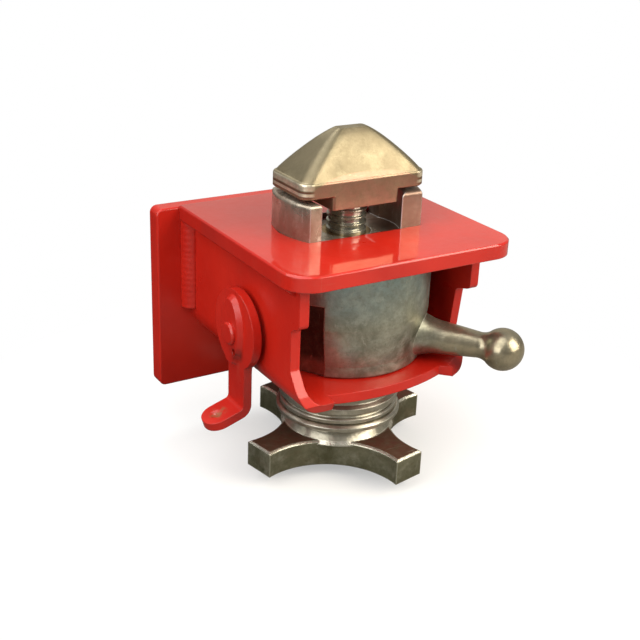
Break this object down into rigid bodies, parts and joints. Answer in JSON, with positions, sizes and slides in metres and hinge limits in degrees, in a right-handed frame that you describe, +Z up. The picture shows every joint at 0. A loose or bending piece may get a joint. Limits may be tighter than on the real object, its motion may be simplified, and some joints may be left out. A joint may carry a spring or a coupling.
{
  "type": "container twistlock",
  "caption": "Weld-on container twistlock: ridged swivel head over a slotted collar, ball handle in a formed housing, star clamping nut below and a hinged catch lever at the side.",
  "frame": {"origin": "on the twist axis, level with the top face of the top plate, where the container corner rests", "axes": "+Z up along the twist axis, +Y towards the weld-on back plate, X along the back plate and the unlocked head"},
  "size_m": [0.25, 0.2238, 0.284],
  "materials": {
    "red_paint": "glossy, scuffed at the edges",
    "forged_steel": "worn zinc over a forged surface",
    "plated_steel": "turned and plated",
    "bush_metal": "satin, greased"
  },
  "bodies": {
    "housing": {"back_plate": "red_paint", "top_plate": "red_paint", "housing_channel": "red_paint", "weld_top_left": "red_paint", "weld_top_right": "red_paint", "weld_back_left": "red_paint", "weld_back_right": "red_paint", "shear_block": "forged_steel", "upper_bush": "bush_metal", "lower_ring": "forged_steel", "lower_bush": "bush_metal", "ring_washer": "plated_steel", "pivot_bush": "bush_metal", "lever_spacer": "plated_steel"},
    "twist": {"twist_bolt": "forged_steel", "drive_key": "plated_steel", "handle_body": "forged_steel", "end_washer": "plated_steel", "retaining_clip": "plated_steel"},
    "nut": {"star_nut": "forged_steel"},
    "washer": {"dished_washer": "plated_steel"},
    "catch": {"safety_lever": "red_paint", "pivot_pin": "red_paint", "catch_pawl": "plated_steel", "pivot_circlip": "plated_steel"}
  },
  "joints": [
    {"name": "twist_turn", "type": "hinge", "parent": "housing", "child": "twist", "pos_m": [0, 0, 0], "axis": [0, 0, 1], "range_deg": [-82, 0]},
    {"name": "nut_turn", "type": "hinge", "parent": "washer", "child": "nut", "pos_m": [0, 0, -0.18], "axis": [0, 0, 1], "range_deg": [-360, 0]},
    {"name": "nut_travel", "type": "slide", "parent": "housing", "child": "washer", "axis": [0, 0, 1], "range_m": [-0.006, 0]},
    {"name": "catch_swing", "type": "hinge", "parent": "housing", "child": "catch", "pos_m": [-0.1, -0.006, -0.072], "axis": [1, 0, 0], "range_deg": [-75, 0]}
  ],
  "couplings": [
    {"joint": "nut_travel", "follows": "nut_turn", "m_per_rad": 0.00095493}
  ]
}
